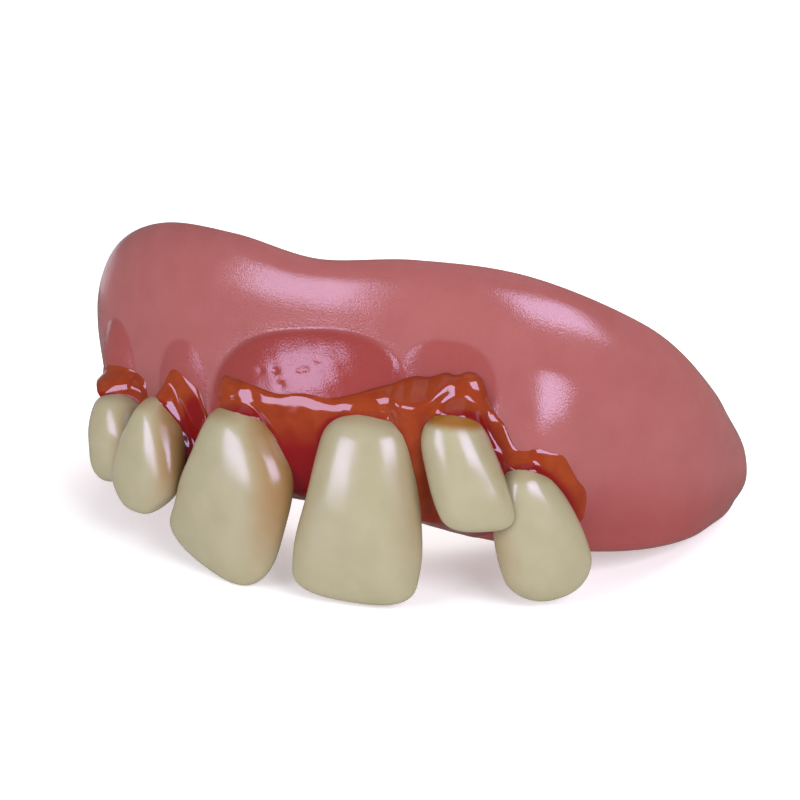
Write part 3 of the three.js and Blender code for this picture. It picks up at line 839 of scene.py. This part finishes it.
class Finish:
    """A material under construction, with short calls for the nodes that it uses."""

    def __init__(self, name, mirror):
        self.material = bpy.data.materials.new(name)
        self.material.use_nodes = True
        self.tree = self.material.node_tree
        self.shader = self.tree.nodes["Principled BSDF"]
        self.place = self.tree.nodes.new("ShaderNodeTexCoord").outputs["Object"]
        self.set(specular_tint=MIRROR_TINT, specular_ior_level=mirror)

    def join(self, output, node_input):
        self.tree.links.new(output, node_input)

    def feed(self, name, output):
        """Lead an output into one of the shader's inputs."""
        self.join(output, self.shader.inputs[name])

    def noise(self, size, detail=NOISE_DETAIL):
        """Noise whose features are about size millimetres across."""
        node = self.tree.nodes.new("ShaderNodeTexNoise")
        node.inputs["Scale"].default_value = 1 / (size * MM)
        node.inputs["Detail"].default_value = detail
        self.join(self.place, node.inputs["Vector"])
        return node.outputs["Fac"]

    def painted(self, name):
        """A value held by the points of the mesh."""
        node = self.tree.nodes.new("ShaderNodeAttribute")
        node.attribute_name = name
        return node.outputs["Fac"]

    def fitted(self, value, band, low, high):
        """A value taken from a band of numbers to the range from low to high."""
        node = self.tree.nodes.new("ShaderNodeMapRange")
        for name, number in zip(("From Min", "From Max", "To Min", "To Max"), (*band, low, high)):
            node.inputs[name].default_value = number
        self.join(value, node.inputs["Value"])
        return node.outputs["Result"]

    def varied(self, low, high, size, detail=NOISE_DETAIL):
        """A value that drifts between two others in patches about size millimetres across."""
        return self.fitted(self.noise(size, detail), NOISE_BAND, low, high)

    def product(self, first, second):
        node = self.tree.nodes.new("ShaderNodeMath")
        node.operation = "MULTIPLY"
        self.join(first, node.inputs[0])
        self.join(second, node.inputs[1])
        return node.outputs["Value"]

    def mixed(self, factor, first, second):
        """first where the factor is 0 and second where it is 1; each is a colour or an output."""
        node = self.tree.nodes.new("ShaderNodeMix")
        node.data_type = "RGBA"
        self.join(factor, node.inputs["Factor"])
        for side, paint in (("A", first), ("B", second)):
            socket = next(s for s in node.inputs if s.name == side and s.type == "RGBA")
            if isinstance(paint, tuple):
                socket.default_value = paint
            else:
                self.join(paint, socket)
        return next(s for s in node.outputs if s.type == "RGBA")

    def clouded(self, first, second, size):
        """A colour that drifts between two others in patches about size millimetres across."""
        return self.mixed(self.varied(0, 1, size), first, second)

    def grain(self, height, depth, strength):
        """A bump from a height, depth millimetres deep."""
        node = self.tree.nodes.new("ShaderNodeBump")
        node.inputs["Distance"].default_value = depth * MM
        node.inputs["Strength"].default_value = strength
        self.join(height, node.inputs["Height"])
        self.feed("Normal", node.outputs["Normal"])

    def set(self, **numbers):
        """Fixed values of the shader's inputs, named in lower case with underscores."""
        for name, number in numbers.items():
            title = name.replace("_", " ").title().replace("Ior", "IOR")
            self.shader.inputs[title].default_value = number


def gum_finish():
    finish = Finish("gum", mirror=0.52)
    first, second = (colour(*pink) for pink in GUM_PINKS)
    pink = finish.clouded(first, second, size=3.5)
    # red: the swellings' own colour, and painted shade towards the foot
    finish.feed("Base Color", finish.mixed(finish.painted("red"), pink, colour(*GUM_RED_AND_FOOT_SHADE)))
    finish.feed("Roughness", finish.varied(0.11, 0.2, size=0.5))
    rough = finish.fitted(finish.painted("rough"), band=(0, 1), low=0.4, high=1)
    finish.grain(finish.product(finish.noise(size=0.16, detail=2.0), rough), depth=0.12, strength=0.35)
    finish.set(subsurface_weight=0.15, subsurface_scale=1.2 * MM, subsurface_radius=(1.0, 0.4, 0.35))
    return finish.material


def tooth_finish():
    finish = Finish("tooth", mirror=0.7)
    first, second = (colour(*cream) for cream in TOOTH_CREAMS)
    cream = finish.clouded(first, second, size=2.5)
    # stain at the necks and painted shade along the sides
    finish.feed("Base Color", finish.mixed(finish.painted("stain"), cream, colour(*TOOTH_AMBER_AND_SHADE)))
    finish.feed("Roughness", finish.varied(0.21, 0.27, size=2.0, detail=1.0))
    finish.grain(finish.noise(size=0.8, detail=1.0), depth=0.02, strength=0.08)
    finish.set(subsurface_weight=0.2, subsurface_scale=1.0 * MM, subsurface_radius=(1.0, 0.8, 0.5))
    return finish.material


def resin_finish():
    finish = Finish("resin", mirror=0.6)
    first, second = (colour(*orange) for orange in RESIN_ORANGES)
    orange = finish.clouded(first, second, size=1.6)
    # deep: the resin's crimson low down, and painted shade in the grooves beside the teeth
    finish.feed("Base Color", finish.mixed(finish.painted("deep"), orange, colour(*RESIN_CRIMSON_AND_SHADE)))
    finish.feed("Roughness", finish.varied(0.05, 0.12, size=0.8))
    finish.grain(finish.noise(size=0.7, detail=2.0), depth=0.03, strength=0.2)
    return finish.material


def add_floor():
    finish = Finish("floor", mirror=0.6)
    finish.feed("Base Color", finish.clouded(*FLOOR_WHITES, size=40.0))
    finish.set(roughness=0.8, emission_color=WHITE, emission_strength=FLOOR_GLOW)
    half = FLOOR_SIZE * MM / 2
    corners = [(-half, -half, 0), (half, -half, 0), (half, half, 0), (-half, half, 0)]
    mesh = bpy.data.meshes.new("floor")
    mesh.from_pydata(corners, [], [(0, 1, 2, 3)])
    mesh.materials.append(finish.material)
    floor = bpy.data.objects.new("floor", mesh)
    bpy.context.scene.collection.objects.link(floor)
    floor.visible_glossy = False


def direction(azimuth, elevation):
    """A direction seen from the object: azimuth 0 is towards -Y and turns towards +X."""
    turn = math.radians(azimuth)
    rise = math.radians(elevation)
    return Vector((math.sin(turn) * math.cos(rise), -math.cos(turn) * math.cos(rise), math.sin(rise)))


def add_lights():
    target = Vector(CAMERA_TARGET) * MM
    for lamp in named_rows(LIGHT_COLUMNS, LIGHTS):
        light = bpy.data.lights.new(lamp["name"], "AREA")
        light.shape = "RECTANGLE"
        light.size = lamp["wide"] * MM
        light.size_y = lamp["high"] * MM
        light.energy = lamp["watts"]
        light.color = lamp["colour"]
        holder = bpy.data.objects.new(lamp["name"], light)
        away = direction(lamp["azimuth"], lamp["elevation"])
        holder.location = target + away * lamp["distance"] * MM
        holder.rotation_euler = away.to_track_quat("Z", "Y").to_euler()
        holder.visible_camera = False
        holder.visible_glossy = lamp["mirrored"]
        bpy.context.scene.collection.objects.link(holder)


def add_room():
    """The bright room round the floor, which shows more dimly in the gloss."""
    world = bpy.data.worlds.new("studio")
    world.use_nodes = True
    tree = world.node_tree
    room = tree.nodes["Background"]
    mirrored = tree.nodes.new("ShaderNodeBackground")
    path = tree.nodes.new("ShaderNodeLightPath")
    choice = tree.nodes.new("ShaderNodeMixShader")
    for background, strength in ((room, WORLD_STRENGTH), (mirrored, WORLD_MIRRORED)):
        background.inputs["Color"].default_value = WORLD_COLOUR
        background.inputs["Strength"].default_value = strength
    tree.links.new(path.outputs["Is Glossy Ray"], choice.inputs[0])
    tree.links.new(room.outputs["Background"], choice.inputs[1])
    tree.links.new(mirrored.outputs["Background"], choice.inputs[2])
    tree.links.new(choice.outputs["Shader"], tree.nodes["World Output"].inputs["Surface"])
    bpy.context.scene.world = world


def add_camera():
    camera = bpy.data.cameras.new("camera")
    camera.lens = CAMERA_LENS
    camera.sensor_width = CAMERA_SENSOR
    camera.clip_start = CAMERA_NEAREST * MM
    holder = bpy.data.objects.new("camera", camera)
    away = direction(CAMERA_AZIMUTH, CAMERA_ELEVATION)
    facing = away.to_track_quat("Z", "Y").to_matrix().to_4x4()
    roll = Matrix.Rotation(math.radians(CAMERA_ROLL), 4, "Z")
    place = Vector(CAMERA_TARGET) * MM + away * CAMERA_DISTANCE * MM
    holder.matrix_world = Matrix.Translation(place) @ facing @ roll
    bpy.context.scene.collection.objects.link(holder)
    bpy.context.scene.camera = holder


def add_pieces():
    gum = gum_finish()
    enamel = tooth_finish()
    amber = resin_finish()
    add_piece("gum_plate", *gum_rings(), gum, "gum")
    for tooth in teeth:
        add_piece(tooth["name"], *tooth_rings(tooth), enamel, "tooth")
    for name, rows in RESIN.items():
        add_piece(name, *resin_rings(rows), amber, "resin")


add_pieces()
add_floor()
add_lights()
add_room()
add_camera()
bpy.context.scene.view_settings.view_transform = "Standard"
